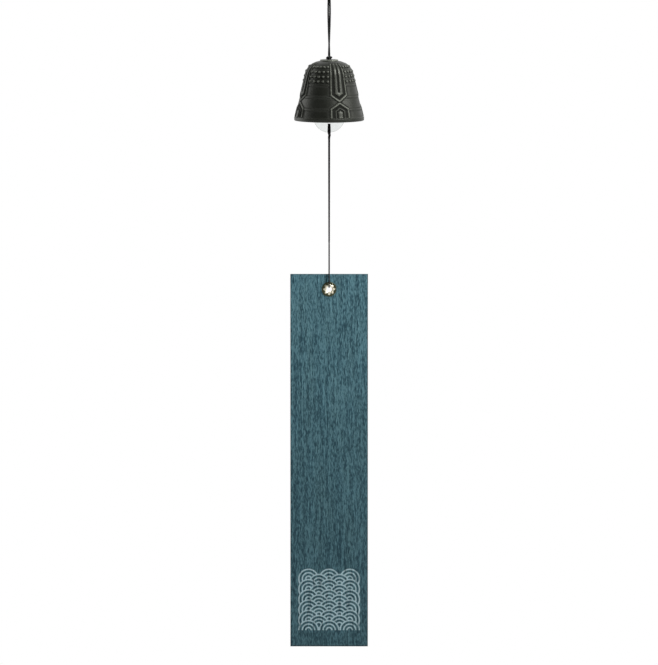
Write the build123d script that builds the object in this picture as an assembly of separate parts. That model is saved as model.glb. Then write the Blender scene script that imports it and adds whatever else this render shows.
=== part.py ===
from build123d import *
import math
import os

# A cast-iron wind bell on a doubled cord, with a clear clapper disc and a long paper strip.
# Millimetres, +Z up. The origin is where the top loop rests on its hook, and the front is -Y.

# Hanging cord and its two knots
hanging_cord_dia = 1.2
hanging_strand_gap = 0.2
bend_share = 0.45  # how much of the shorter run beside a corner the arc there takes up
hook_dia = 5.0  # thickness of the hook that the loop goes over
hook_flat = 0.031  # half of the short straight run on top of the hook
hang_drop = 64.5  # hook to the top of the crown
loop_neck_drop = 18.0  # below this the two strands run side by side
loop_side_drop = 6.0  # above this they run straight up to the hook
crown_knot_width = 5.0
crown_knot_height = 2.3
stopper_knot_width = 6.4
stopper_knot_height = 4.4
knot_clearance = 0.25

# Bell casting
bell_height = 47.0  # rim to the top of the boss
mouth_dia = 54.0
wall = 2.8
crown_wall = 3.0
boss_dia = 14.0
boss_height = 1.0
crown_hole_dia = 4.2
shoulder_dia = 32.4  # where flank and crown would meet if the shoulder were sharp
shoulder_drop = 1.2  # foot of the boss down to that corner
shoulder_share = 0.96  # how much of the crown from that corner to the boss the rounding takes up
inner_round = 8.5
lip_height = 3.0

# Relief on the bell: rings round it, studs in four panels, and four groups of pointed bands
ring_heights = [9.6, 19.0]
ledge_gap = 2.9  # lowest studs down to the ring under them
ring_width = 0.8
ring_relief = 0.4
group_count = 4
group_turn = 20.0  # the front group faces this far to the right
band_relief = 0.6
band_gauge_dia = 42.6  # the bell's diameter where the bands have the widths given here
band_reach = 6.85  # outer edge of a band from the group's middle
band_width = 1.7
band_groove = 1.7  # between a band and the tongue inside it
upper_rim = 2.95  # of the upper tongue, beside the slot in its middle
lower_rim = 1.0
lower_groove = 0.7  # between the lower tongue's rim and its middle
point_slope = 37.0
point_height = 15.5  # where the points of the upper and the lower band meet
point_lap = 0.35  # how far each goes past there
band_drop = 2.2  # top of the boss down to the upper end of the bands
stud_dia = 2.3
stud_relief = 1.0
stud_columns = 5
stud_rows = 4
stud_turn = 11.0
stud_pitch = 3.6
stud_drop = 5.1  # top of the boss down to the top row

# Clapper, hung by a thread loop
thread_dia = 1.0
thread_gap = 0.2
thread_clearance = 0.2
clapper_drop = 44.1  # top of the crown to the middle of the disc
clapper_dia = 24.4
clapper_thickness = 3.0
clapper_hole_dia = 2.5
clapper_hole_offset = 5.7
loop_spread = 9.0  # above a hole, where the loop's two strands start to come together
loop_bend = 1.2  # the thread's bend where it turns up from the disc's hole

# Hitch of the lower thread on the clapper
hitch_bar_rise = 1.2  # the bar across the front, above the disc's lowest point
hitch_under_gap = 0.3
hitch_side = 1.75
hitch_bend = 0.95
hitch_tail = 2.4  # the strands' slope from the disc's face to under its middle
hitch_end = 1.2
hitch_lay_gap = 0.1

# Lower thread, eyelet and paper strip
strip_drop = 166.1  # top of the crown to the top edge of the strip
strip_width = 60.0
strip_length = 290.0
strip_thickness = 0.6
eyelet_inset = 11.8  # top edge of the strip to the middle of the eyelet
eyelet_bore = 4.4
eyelet_metal = 0.3
eyelet_flange_dia = 9.4
petal_dia = 9.0
petal_height = 0.8
petal_count = 8
petal_slot = 2.2
petal_root = 0.35
petal_bend = 0.45  # rounding of the rolled edge
washer_dia = 11.4
washer_thickness = 0.25
barrel_clearance = 0.05  # round the eyelet's tube, in the paper and in the washer
eyelet_bend = 1.6  # the thread's bend round the eyelet's rolled edge
twist_rise = 24.0  # strip's top edge to where the thread twists as the strip turns
joint_gap = 0.15
closing_knot_width = 2.2
closing_knot_height = 2.6
closing_knot_drop = 6.0  # strip's top edge to the middle of the knot

# Heights that follow from these
crown_top_z = -hang_drop
rim_z = crown_top_z - bell_height
ceiling_height = bell_height - boss_height - crown_wall
shoulder_height = bell_height - boss_height - shoulder_drop
band_top = bell_height - band_drop
stud_foot = bell_height - stud_drop - (stud_rows - 1) * stud_pitch
ledge_height = stud_foot - ledge_gap
ceiling_z = rim_z + ceiling_height
crown_knot_z = crown_top_z + knot_clearance + crown_knot_height / 2
stopper_knot_z = ceiling_z - joint_gap - stopper_knot_height / 2
clapper_z = crown_top_z - clapper_drop
upper_hole_z = clapper_z + clapper_hole_offset
lower_hole_z = clapper_z - clapper_hole_offset
clapper_pivot_z = stopper_knot_z - stopper_knot_height / 2 - joint_gap - thread_dia / 2
strip_top_z = crown_top_z - strip_drop
eyelet_z = strip_top_z - eyelet_inset
twist_z = strip_top_z + twist_rise
thread_side = (thread_dia + thread_gap) / 2


def on_route(points, index):
    """The turn in degrees at a corner of a route, and the shorter of its two runs."""
    before = Vector(points[index]) - Vector(points[index - 1])
    after = Vector(points[index + 1]) - Vector(points[index])
    return before.get_angle(after), min(before.length, after.length)


def tube(name, points, diameter, given_radii):
    """A round cord along straight runs and arcs. Corners with no given radius get a wide arc."""
    radii = []
    for index in range(1, len(points) - 1):
        turn, run = on_route(points, index)
        wide = bend_share * run / math.tan(math.radians(turn / 2))
        radii.append(given_radii.get(index, wide))
    path = FilletPolyline(*points, radius=radii)
    section = Plane(origin=path @ 0, z_dir=path % 0) * Circle(diameter / 2)
    solid = sweep(section, path=path)
    expected = math.pi * diameter**2 / 4 * path.length
    print(name, "length", round(path.length, 1), "radii", [round(r, 2) for r in radii])
    print(name, "volume / (section x length)", round(solid.volume / expected, 4))
    return solid


def oval(width, height):
    """A flattened ball at the origin, the space that a tight knot fills."""
    return scale(Sphere(0.5), by=(width, width, height))


def hanging_cord():
    side = (hanging_cord_dia + hanging_strand_gap) / 2
    round_hook = (hook_dia + hanging_cord_dia) / 2
    foot = crown_knot_z + crown_knot_height / 2 + joint_gap
    left = [
        (-side, 0, foot),
        (-side, 0, -loop_neck_drop),
        (-round_hook, 0, -loop_side_drop),
        (-round_hook, 0, hanging_cord_dia / 2),
    ]
    right = [(-x, y, z) for x, y, z in reversed(left)]
    hook_arc = round_hook - hook_flat
    return tube("hanging_cord", left + right, hanging_cord_dia, {3: hook_arc, 4: hook_arc})


def crown_knot():
    return Pos(0, 0, crown_knot_z) * oval(crown_knot_width, crown_knot_height)


def stopper_knot():
    """The knot under the crown, with the two strands that go up through the hole."""
    side = (hanging_cord_dia + hanging_strand_gap) / 2
    neck_top = crown_top_z - knot_clearance
    neck = neck_top - stopper_knot_z
    knot = Pos(0, 0, stopper_knot_z) * oval(stopper_knot_width, stopper_knot_height)
    for x in (-side, side):
        strand = Cylinder(hanging_cord_dia / 2, neck, align=(Align.CENTER, Align.CENTER, Align.MIN))
        knot += Pos(x, 0, stopper_knot_z) * strand
    return knot


def flank_and_crown():
    """Foot of the flank, shoulder corner and edge of the boss, as (radius, height), with the
    directions that point into the metal from the flank and from the crown."""
    foot = Vector(mouth_dia / 2, 0)
    corner = Vector(shoulder_dia / 2, shoulder_height)
    boss = Vector(boss_dia / 2, bell_height - boss_height)
    flank = (corner - foot).normalized()
    crown = (boss - corner).normalized()
    return foot, corner, boss, Vector(-flank.Y, flank.X), Vector(-crown.Y, crown.X)


def shoulder_round():
    """Radius of the shoulder's rounding."""
    foot, corner, boss, in_flank, in_crown = flank_and_crown()
    half_turn = math.radians(in_flank.get_angle(in_crown)) / 2
    return shoulder_share * (boss - corner).length / math.tan(half_turn)


def outer_form(proud):
    """The bell filled in, standing on height 0. Its flank is raised by proud, which runs out
    over the shoulder."""
    foot, corner, boss, in_flank, in_crown = flank_and_crown()
    along_crown = (corner - boss).normalized()
    raised = corner - along_crown * (proud / along_crown.dot(in_flank))
    outline = FilletPolyline(
        (0, 0),
        (foot.X - proud / in_flank.X, 0),
        (raised.X, raised.Y),
        (boss.X, boss.Y),
        (0, boss.Y),
        radius=[0, 0, shoulder_round(), 0, 0],
        close=True,
    )
    return revolve(Plane.XZ * make_face(outline), axis=Axis.Z)


def cavity():
    """The hollow of the bell, from the mouth to the ceiling."""
    lean = (mouth_dia - shoulder_dia) / 2 / shoulder_height
    mouth_radius = mouth_dia / 2 - wall
    outline = FilletPolyline(
        (0, 0),
        (mouth_radius, 0),
        (mouth_radius - lean * ceiling_height, ceiling_height),
        (0, ceiling_height),
        radius=[0, 0, inner_round, 0],
        close=True,
    )
    return revolve(Plane.XZ * make_face(outline), axis=Axis.Z)


def shoulder_arc():
    """Middle of the shoulder's rounding, and where it starts above the straight flank."""
    foot, corner, boss, in_flank, in_crown = flank_and_crown()
    middle = corner + (in_flank + in_crown) * (shoulder_round() / (1 + in_flank.dot(in_crown)))
    return middle, middle - in_flank * shoulder_round()


def surface_at(height):
    """Radius of the plain outside at a height, and its outward direction as (radius, height)."""
    foot, corner, boss, in_flank, in_crown = flank_and_crown()
    middle, round_start = shoulder_arc()
    if height <= round_start.Y:
        lean = (foot.X - corner.X) / corner.Y
        return foot.X - lean * height, in_flank * -1
    rise = height - middle.Y
    across = math.sqrt(shoulder_round() ** 2 - rise**2)
    return middle.X + across, Vector(across, rise) / shoulder_round()


def studs():
    """Four panels of small domes, between the band groups."""
    radius = ((stud_dia / 2) ** 2 + stud_relief**2) / (2 * stud_relief)
    found = []
    for panel in range(group_count):
        middle = group_turn + (panel + 0.5) * 360 / group_count
        for row in range(stud_rows):
            height = stud_foot + row * stud_pitch
            across, outward = surface_at(height)
            sunk = radius - stud_relief
            place = Pos(0, outward.X * sunk - across, height - outward.Y * sunk)
            for column in range(stud_columns):
                turn = middle + (column - (stud_columns - 1) / 2) * stud_turn
                found.append(Rot(0, 0, turn) * place * Sphere(radius))
    return found


def pointed(way, inset, ends):
    """A strip that stands on its point, or hangs with its point up where way is -1. It is smaller
    by inset all round than the outermost strip, and drawn in with the bell's own width."""
    slope = math.radians(point_slope)
    half = band_reach - inset
    tip = point_height + way * (inset / math.cos(slope) - point_lap)
    edge = [(half, height) for height in [tip + way * half * math.tan(slope), *ends]]
    outline = [(-across, height) for across, height in edge[::-1]] + [(0, tip)] + edge
    fitted = [(2 * across * surface_at(height)[0] / band_gauge_dia, height) for across, height in outline]
    return make_face(Polyline(*fitted, close=True))


def nested(way, widths, ends):
    """Bands and grooves by turns, one inside the other, as a prism out to the front."""
    face = pointed(way, 0, ends)
    inset = 0
    for index, width in enumerate(widths):
        inset += width
        if inset < band_reach:
            inner = pointed(way, inset, ends)
            face = face + inner if index % 2 else face - inner
    return extrude(Plane.XZ * face, mouth_dia)


def band_group():
    upper = nested(1, [band_width, band_groove, upper_rim], [shoulder_arc()[1].Y, band_top])
    lower = nested(-1, [band_width, band_groove, lower_rim, lower_groove], [lip_height])
    return (upper + lower) & outer_form(band_relief)


def ring(height):
    """A thin raised ring round the bell."""
    slab = Pos(0, 0, height) * Cylinder(mouth_dia, ring_width)
    return outer_form(ring_relief) & slab


def bell():
    low = (Align.CENTER, Align.CENTER, Align.MIN)
    boss_foot = bell_height - boss_height - crown_wall / 2
    form = outer_form(0)
    form += Cylinder(mouth_dia / 2, lip_height, align=low)
    form += Pos(0, 0, boss_foot) * Cylinder(boss_dia / 2, bell_height - boss_foot, align=low)
    form += [ring(height) for height in [*ring_heights, ledge_height]]
    group = band_group()
    for turn in range(group_count):
        form += Rot(0, 0, group_turn + turn * 360 / group_count) * group
    form += studs()
    form -= cavity()
    form -= Pos(0, 0, bell_height) * Cylinder(crown_hole_dia / 2, bell_height)
    return Pos(0, 0, rim_z) * form


def thread_loop(name, start, hole_z, hole_dia, reach, bend):
    """A thread that comes down from two strands at start, one in front and one behind, and
    passes through a hole under its upper edge, reach from the middle to either strand."""
    under = hole_z + hole_dia / 2 - thread_clearance - thread_dia / 2
    spread_z = hole_z + loop_spread
    front = [start, (0, -reach, spread_z), (0, -reach, under)]
    back = [(-x, -y, z) for x, y, z in reversed(front)]
    return tube(name, front + back, thread_dia, {2: bend, 3: bend})


def clapper_cord():
    """The loop that carries the clapper, with round ends that turn under the stopper knot."""
    reach = clapper_thickness / 2 + loop_bend
    start = (-thread_side, 0, clapper_pivot_z)
    loop = thread_loop("clapper_cord", start, upper_hole_z, clapper_hole_dia, reach, loop_bend)
    for x in (-thread_side, thread_side):
        loop += Pos(x, 0, clapper_pivot_z) * Sphere(thread_dia / 2)
    return loop


def through_clapper(z):
    return Pos(0, 0, z) * Rot(90, 0, 0) * Cylinder(clapper_hole_dia / 2, 2 * clapper_thickness)


def clapper():
    disc = Pos(0, 0, clapper_z) * Rot(90, 0, 0) * Cylinder(clapper_dia / 2, clapper_thickness)
    return disc - through_clapper(upper_hole_z) - through_clapper(lower_hole_z)


def hitch_levels():
    """Heights of the hitch under the disc: the strands round the edge, and the hitch's two ends."""
    under = clapper_z - clapper_dia / 2 - hitch_under_gap - thread_dia / 2
    return under, under - hitch_tail - hitch_end


def wind_hitch():
    """One thread: up the front, through the hole, down the back, round the edge and across."""
    under, tail = hitch_levels()
    lay = clapper_thickness / 2 + hitch_lay_gap + thread_dia / 2
    over = lay + thread_dia + 2 * hitch_lay_gap
    in_hole = lower_hole_z - thread_gap
    bar = clapper_z - clapper_dia / 2 + hitch_bar_rise
    left = [
        (-thread_side, 0, tail),
        (-thread_side, 0, tail + hitch_end),
        (-thread_side, -lay, under),
        (-thread_side, -lay, in_hole),
        (-thread_side, lay, in_hole),
        (-hitch_side, lay, under),
        (-hitch_side, -over, under),
        (-hitch_side, -over, bar),
    ]
    right = [(-x, y, z) for x, y, z in reversed(left)]
    route = left + right
    tight = range(3, len(route) - 3)
    return tube("wind_hitch", route, thread_dia, dict.fromkeys(tight, hitch_bend))


def wind_pivot_z():
    return hitch_levels()[1] - joint_gap - thread_dia / 2


def wind_cord():
    """Two straight strands from the hitch to the twist, with round tops that turn under the hitch."""
    length = wind_pivot_z() - twist_z - joint_gap
    found = []
    for x in (-thread_side, thread_side):
        strand = Cylinder(thread_dia / 2, length, align=(Align.CENTER, Align.CENTER, Align.MAX))
        found.append(Pos(x, 0, wind_pivot_z()) * (strand + Sphere(thread_dia / 2)))
    return Compound(children=found)


def strip_loop():
    reach = strip_thickness / 2 + washer_thickness + petal_height
    reach += 2 * thread_clearance + thread_dia / 2
    start = (0, -thread_side, twist_z - joint_gap)
    return thread_loop("strip_loop", start, eyelet_z, eyelet_bore, reach, eyelet_bend)


def closing_knot(loop):
    """The knot that closes the thread, on its strand behind the strip."""
    away = strip_thickness / 2 + thread_clearance + closing_knot_width / 2
    place = Pos(0, away, strip_top_z - closing_knot_drop)
    return place * oval(closing_knot_width, closing_knot_height) - loop


def eyelet():
    """A tube through paper and washer, with a flange behind and its front end split and rolled out."""
    bore = eyelet_bore / 2
    skin = bore + eyelet_metal
    back = strip_thickness / 2
    front = -strip_thickness / 2 - washer_thickness
    top = front - petal_height
    petal = petal_dia / 2
    section = FilletPolyline(
        (bore, back + eyelet_metal),
        (eyelet_flange_dia / 2, back + eyelet_metal),
        (eyelet_flange_dia / 2, back),
        (skin, back),
        (skin, top + eyelet_metal),
        (petal - eyelet_metal, top + eyelet_metal),
        (petal - eyelet_metal, front),
        (petal, front),
        (petal, top),
        (bore, top),
        radius=[0, 0, 0, 0, 0, eyelet_metal / 2, 0, 0, petal_bend, petal_bend],
        close=True,
    )
    metal = revolve(make_face(section), axis=Axis.Y)
    root = skin + petal_root
    slot = Polyline((root, 0), (petal_dia, petal_slot), (petal_dia, -petal_slot), close=True)
    cutter = extrude(Plane.XZ * make_face(slot), petal_dia)
    for index in range(petal_count):
        metal -= Rot(0, (index + 0.5) * 360 / petal_count, 0) * cutter
    return Pos(0, 0, eyelet_z) * metal


def barrel_hole(depth):
    """The hole for the eyelet's tube."""
    radius = eyelet_bore / 2 + eyelet_metal + barrel_clearance
    return Rot(90, 0, 0) * Cylinder(radius, depth)


def eyelet_washer():
    """The ring that the petals are rolled down on, in front of the paper."""
    ring_plate = Rot(90, 0, 0) * Cylinder(washer_dia / 2, washer_thickness)
    middle = -(strip_thickness + washer_thickness) / 2
    return Pos(0, middle, eyelet_z) * (ring_plate - barrel_hole(2 * washer_thickness))


def paper_strip():
    sheet = Pos(0, 0, strip_top_z - strip_length / 2) * Box(strip_width, strip_thickness, strip_length)
    return sheet - Pos(0, 0, eyelet_z) * barrel_hole(2 * strip_thickness)


lower_loop = strip_loop()
pieces = {
    "hanging_cord": hanging_cord(),
    "crown_knot": crown_knot(),
    "stopper_knot": stopper_knot(),
    "bell": bell(),
    "clapper_cord": clapper_cord(),
    "clapper": clapper(),
    "wind_hitch": wind_hitch(),
    "wind_cord": wind_cord(),
    "strip_loop": lower_loop,
    "closing_knot": closing_knot(lower_loop),
    "eyelet": eyelet(),
    "eyelet_washer": eyelet_washer(),
    "paper_strip": paper_strip(),
}

os.makedirs("parts", exist_ok=True)
for name, piece in pieces.items():
    export_step(piece, f"parts/{name}.step")
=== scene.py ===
"""The looks of a small cast-iron wind bell: cords, casting, clear clapper, eyelet and paper strip.
Metres, +Z up. The front is -Y and the origin is where the cord's loop rests on its hook."""
import math

import bmesh
import bpy
import numpy as np
from mathutils import Matrix, Vector


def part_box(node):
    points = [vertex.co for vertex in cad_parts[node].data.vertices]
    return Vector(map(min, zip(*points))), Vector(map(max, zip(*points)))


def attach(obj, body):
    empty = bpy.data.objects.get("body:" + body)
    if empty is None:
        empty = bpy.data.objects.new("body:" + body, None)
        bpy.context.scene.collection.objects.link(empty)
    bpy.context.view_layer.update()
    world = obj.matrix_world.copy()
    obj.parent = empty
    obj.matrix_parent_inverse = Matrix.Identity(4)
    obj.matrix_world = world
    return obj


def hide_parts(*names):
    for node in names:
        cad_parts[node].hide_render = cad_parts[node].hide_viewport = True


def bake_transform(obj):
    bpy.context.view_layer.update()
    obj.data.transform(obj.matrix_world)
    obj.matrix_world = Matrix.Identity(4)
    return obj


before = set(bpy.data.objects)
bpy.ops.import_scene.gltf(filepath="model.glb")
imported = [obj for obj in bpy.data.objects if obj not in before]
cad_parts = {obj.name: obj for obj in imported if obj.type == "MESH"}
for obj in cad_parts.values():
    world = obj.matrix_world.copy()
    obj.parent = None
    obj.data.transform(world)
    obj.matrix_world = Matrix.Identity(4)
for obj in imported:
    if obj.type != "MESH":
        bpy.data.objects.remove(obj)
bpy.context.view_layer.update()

# The photograph's framing
photo_high = 665
pixel = 0.0007737  # size of a pixel at the bell
camera_lens = 600.0
camera_rise = math.radians(5.3)
aim = Vector((-0.0001, 0.0, -0.2761))

# Cords: the hanging cord is thicker than the thread below the bell
cord_dia = 0.0012
cord_foot = -0.0618
thread_dia = 0.0010
hitch_snug = 0.00048  # the hitch's strands this near the middle stay, and those outside are pulled in
hitch_tail = -0.1310  # below this the lower thread's two strands are pieces of their own
twist_z = -0.2066
thread_sides = 18
thread_step = 0.24  # from one ring of a thread's points to the next, in diameters
thread_plies = 3
ply_lay = 3.4  # length of one turn of the plies, in diameters
ply_groove = 0.14
ply_swell = 1.15
ply_fullness = 0.6  # the lower, the fuller the plies and the narrower their grooves
knot_swing = 0.34  # how far a knot's strand swings in and out, in radii of the knot
knot_points = 181
stopper_z = -0.0737  # the clapper's thread hangs from here
stopper_height = 0.0044  # of the tied part of the stopper knot
closing_spread = 0.0006  # how much wider the closing knot is than its solid

# How doubled strands lie round each other: height, turn in degrees and share of their loose distance
cord_lay = [
    (0.0012, 0, 1),
    (-0.0040, 0, 1),
    (-0.0120, -20, 0.66),
    (-0.0170, -31, 0.47),
    (-0.0220, -15, 0.60),
    (-0.0282, 6, 0.743),
    (-0.0399, 46, 0.857),
    (cord_foot, 121, 0.857),
]
hitch_lay = [(-0.1140, 0, 1), (-0.1216, 0, 1), (-0.1262, 58, 1.04), (hitch_tail, 61, 1.04)]
wind_lay = [
    (hitch_tail, 61, 0.87),
    (-0.1350, 62, 0.87),
    (-0.1578, 67, 0.87),
    (-0.1889, 78, 0.87),
    (twist_z, 82, 0.87),
]
hitch_pull = [(-0.1216, 0.05), (-0.1198, 0.26)]  # height, and what is left there of a strand's loose distance

# Bell, as radius and height over its rim
bell_low, bell_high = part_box("bell")
rim_z = bell_low.z
bell_height = bell_high.z - bell_low.z
mouth_radius = 0.0270
wall = 0.0028
lip_height = 0.0030
boss_radius, boss_height = 0.0070, 0.0010
crown_hole_radius = 0.0021
crown_wall = 0.0030
shoulder_corner = (0.0162, 0.0448)  # where flank and crown would meet if the shoulder were sharp
shoulder_share = 0.96  # how much of the crown from there to the boss the rounding takes up
inner_round = 0.0085
relief_step = 0.00037
gauge_radius = 0.0213  # where the ornament's widths are true
group_turn = math.radians(20)
bell_sides = 4
quarter = 2 * math.pi / bell_sides
lean = (mouth_radius - shoulder_corner[0]) / shoulder_corner[1]
flank_angle = math.atan(lean)
crown_slope = math.atan2(bell_height - boss_height - shoulder_corner[1], shoulder_corner[0] - boss_radius)
crown_angle = math.pi / 2 - crown_slope
half_turn = (crown_angle - flank_angle) / 2
crown_length = math.dist(shoulder_corner, (boss_radius, bell_height - boss_height))
shoulder_round = shoulder_share * crown_length / math.tan(half_turn)
shoulder_middle = (
    shoulder_corner[0] - shoulder_round * math.cos((flank_angle + crown_angle) / 2) / math.cos(half_turn),
    shoulder_corner[1] - shoulder_round * math.sin((flank_angle + crown_angle) / 2) / math.cos(half_turn),
)

# Relief on the bell
ring_heights = (0.0096, 0.0190, 0.0282)
ring_half, ring_rise = 0.0004, 0.00022
ring_flat = 1.4  # over 1, the top of a ring is flat
ring_gap = 0.0004  # the rings end this far from the bands
ripple_low, ripple_high, ripple_end = 0.0105, 0.0181, 0.0006
ripple_rise, ripple_pitch = 0.00002, 0.0014
band_rise = 0.0006
band_edge = 0.00026  # width of a band's steep edge
band_edge_share = 0.4  # of the band's rise, taken by that edge
band_crown = 0.0009  # from that edge to the flat of the band
groove_depth = 0.00016  # of the floor between the bands
groove_inset = 0.0003  # of that floor at the top of the bands
band_top, band_top_edge = 0.0448, 0.0004
point_height, point_slope, point_lap = 0.0155, math.radians(37), 0.00035
band_reach = 0.00685
upper_widths = (0.0017, 0.0017, 0.00295)  # band, groove inside it, and tongue beside its slot
lower_widths = (0.0017, 0.0017, 0.0010, 0.0007)  # band, groove, inner band, and groove round the peg
relief_rows = 6  # rows over which the ornament fades in below the crown
cast_wave, cast_lobes, cast_beat = 0.00006, 3, 190  # the casting's unevenness: depth, round and up the bell
group_columns, panel_columns = 84, 36
group_half = math.radians(18.6)
stud_width, stud_rise = 0.0023, 0.0010
stud_columns, stud_rows = 5, 4
stud_turn, stud_pitch, stud_foot = math.radians(11.0), 0.0036, 0.0311
stud_sides, stud_rings = 14, 9

# Rubbing of the bell's lacquer with painted highlight on its raised parts, and painted shade in its hollows,
# from 0 to 1
rub_highlight_reach, rub_highlight_fade = 0.0025, 0.0006  # hands rub the outer bands most, and the painted highlight is strongest there, to this far inside them
rub_highlight_inner = 0.5
# the part of a band's painted highlight and rubbing that covers its whole top
wear_flat = 0.12
wear_edge_rise = 0.0002  # over its surroundings, where a raised edge is bare from rubbing and carries a painted highlight
# the boss's upper edge: rubbing and a painted highlight
wear_boss, wear_boss_width, wear_boss_height = 0.9, 0.0016, 0.0006
hollow_shade_depth = 0.00014  # under its surroundings, where a hollow's painted shade is darkest
# least painted shade on the floors between the bands
groove_floor_shade = 0.85
neighbour = 3  # rows and columns away
# the studs' upper parts: rubbing and a painted highlight
stud_wear, stud_wear_from = 0.7, 0.55

# Clapper and eyelet
clapper_low, clapper_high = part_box("clapper")
clapper_edge = 0.00035
clapper_hole_radius = 0.00125
clapper_hole_offset = 0.0057
circle_handle = 0.5523  # length of a quarter circle's handles, in radii
eyelet_low, eyelet_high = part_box("eyelet")
washer_low, washer_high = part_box("eyelet_washer")
eyelet_z = (eyelet_low.z + eyelet_high.z) / 2
eyelet_bore = 0.0022
eyelet_metal = 0.0003
petal_count = 8
petal_reach = 0.0045
petal_metal = 0.00024
petal_rows, petal_columns = 13, 9
petal_half = math.radians(20.5)  # half of a petal's width at its root

# Paper strip
strip_low, strip_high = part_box("paper_strip")
strip_columns, strip_rows = 180, 274
paper_core = 0.00022  # thickness of the paper between its creases
crease_rise = 0.00017
crepe_drift = 0.0010  # how far streaks and folds wander sideways
streak_slant, wrinkle_slant = 0.010, -0.008
drift_cell, fold_cell = (0.014, 0.020), (0.010, 0.016)  # sizes of noise, across and along the strip
streak_cell, wrinkle_cell = (0.0010, 0.018), (0.0007, 0.0030)
fold_pitch = 0.0049
streak_share, wrinkle_share, fold_share = 0.55, 0.45, 0.16
pressed_reach, pressed_fade = 0.0048, 0.0022  # the washer presses the crepe flat round the eyelet
bow, bow_beat = 0.0005, 21  # the strip's slow bow: depth, and radians in a metre
bow_start, bow_fade = 0.02, 0.1  # below the strip's top
cut_edge = 0.0007  # width of the dark cut edge
scale_radius = 0.0080  # of the printed wave scales
scale_rings, ring_bare = 3.0, 0.60  # rings of a scale, and the share of each that is bare
print_foot = -0.5080
print_rows = 11
print_reach = 2.5  # the outermost scales' middles, in radii

# Light
room_light = 0.065  # of the dim side in front of the bell
floor_z, floor_half = -0.62, 4.0
floor_near, floor_far = 0.70, 0.88  # from the origin: the floor's own shade gives way to white
softboxes = [  # name, place, what it points at, width, height and power
    ("softbox_right", (0.92, -0.34, 0.46), (0, 0, -0.12), 0.8, 0.8, 7.4),
    ("softbox_high", (0.46, -0.42, 0.52), (0, 0, -0.26), 0.3, 0.4, 8.2),
    ("softbox_left", (-0.78, 0.22, 0.13), (0, 0, -0.09), 0.5, 0.8, 2.4),
]


# Meshes

def add_object(name, data):
    obj = bpy.data.objects.new(name, data)
    bpy.context.scene.collection.objects.link(obj)
    return obj


def new_object(name, mesh, material):
    """A smooth piece of one material."""
    mesh.materials.clear()
    mesh.materials.append(material)
    for polygon in mesh.polygons:
        polygon.use_smooth = True
    return add_object(name, mesh)


def plain_mesh(name, points, faces=()):
    mesh = bpy.data.meshes.new(name)
    mesh.from_pydata(points, [], faces)
    return mesh


def grid(points, ring=False, loop=False, corner_map=None):
    """Points in rows and columns, the quads between them and each quad corner's place in the map.
    A ring's last column meets its first, a loop's last row its first."""
    rows, columns = points.shape[:2]
    row, column = np.meshgrid(
        np.arange(rows if loop else rows - 1), np.arange(columns if ring else columns - 1), indexing="ij"
    )
    corners = [(row, column), (row, column + 1), (row + 1, column + 1), (row + 1, column)]
    faces = np.stack([(r % rows) * columns + c % columns for r, c in corners], axis=-1).reshape(-1, 4)
    steps = np.stack([np.stack(corner, axis=-1) for corner in corners], axis=2).reshape(-1, 4, 2)
    if corner_map is not None:
        steps = steps * np.array(corner_map)
    return points.reshape(-1, 3), faces, steps


def mesh_of(name, parts, caps=()):
    """One mesh of several grids, with a map named lay, and flat faces over the open ends."""
    points, faces, places, start = [], [], [], 0
    for part_points, part_faces, part_places in parts:
        points.append(part_points)
        faces.append(part_faces + start)
        places.append(part_places)
        start += len(part_points)
    faces, places = np.concatenate(faces), np.concatenate(places)
    mesh = plain_mesh(name, np.concatenate(points).tolist(), [*faces.tolist(), *caps])
    lay = mesh.uv_layers.new(name="lay")
    corners = np.zeros((len(mesh.loops), 2))
    corners[: faces.size] = places.reshape(-1, 2)
    lay.data.foreach_set("uv", corners.ravel())
    face_outwards(mesh)
    return mesh


def face_outwards(mesh, merged=0.0):
    """Faces turned outwards, once points nearer to each other than merged are joined."""
    shell = bmesh.new()
    shell.from_mesh(mesh)
    if merged:
        bmesh.ops.remove_doubles(shell, verts=shell.verts, dist=merged)
    bmesh.ops.recalc_face_normals(shell, faces=shell.faces)
    shell.to_mesh(mesh)
    shell.free()
    mesh.update()


def mark(mesh, **values):
    """A value for each of the mesh's points, as attributes that its material reads."""
    for name, value in values.items():
        attribute = mesh.attributes.new(name, "FLOAT", "POINT")
        attribute.data.foreach_set("value", value.astype(np.float32).ravel())


def baked(obj):
    """A plain mesh of the object with its modifiers carried out."""
    bpy.context.view_layer.update()
    return bpy.data.meshes.new_from_object(obj.evaluated_get(bpy.context.evaluated_depsgraph_get()))


# Node trees

def feed(tree, socket, value):
    """Gives an input a value, or links it to the output that is the value."""
    if isinstance(value, bpy.types.NodeSocket):
        tree.links.new(value, socket)
    else:
        socket.default_value = value


def add_node(tree, kind, settings=None, **inputs):
    """A node with its settings and what feeds its inputs. A name's _ stands for a space."""
    node = tree.nodes.new(kind)
    for name, value in (settings or {}).items():
        setattr(node, name, value)
    for name, value in inputs.items():
        feed(tree, node.inputs[name.replace("_", " ")], value)
    return node


def add_math(tree, operation, *values, clamp=False):
    node = add_node(tree, "ShaderNodeMath", {"operation": operation, "use_clamp": clamp})
    for socket, value in zip(node.inputs, values):
        feed(tree, socket, value)
    return node.outputs["Value"]


def new_group(name, kind, inputs, outputs):
    """A node group with sockets of the kinds that are given by name, and its input and output nodes."""
    tree = bpy.data.node_groups.new(name, kind)
    for way, sockets in (("INPUT", inputs), ("OUTPUT", outputs)):
        for socket, socket_kind in sockets.items():
            tree.interface.new_socket(socket, in_out=way, socket_type="NodeSocket" + socket_kind)
    return tree, tree.nodes.new("NodeGroupInput"), tree.nodes.new("NodeGroupOutput")


# Cords

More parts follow.
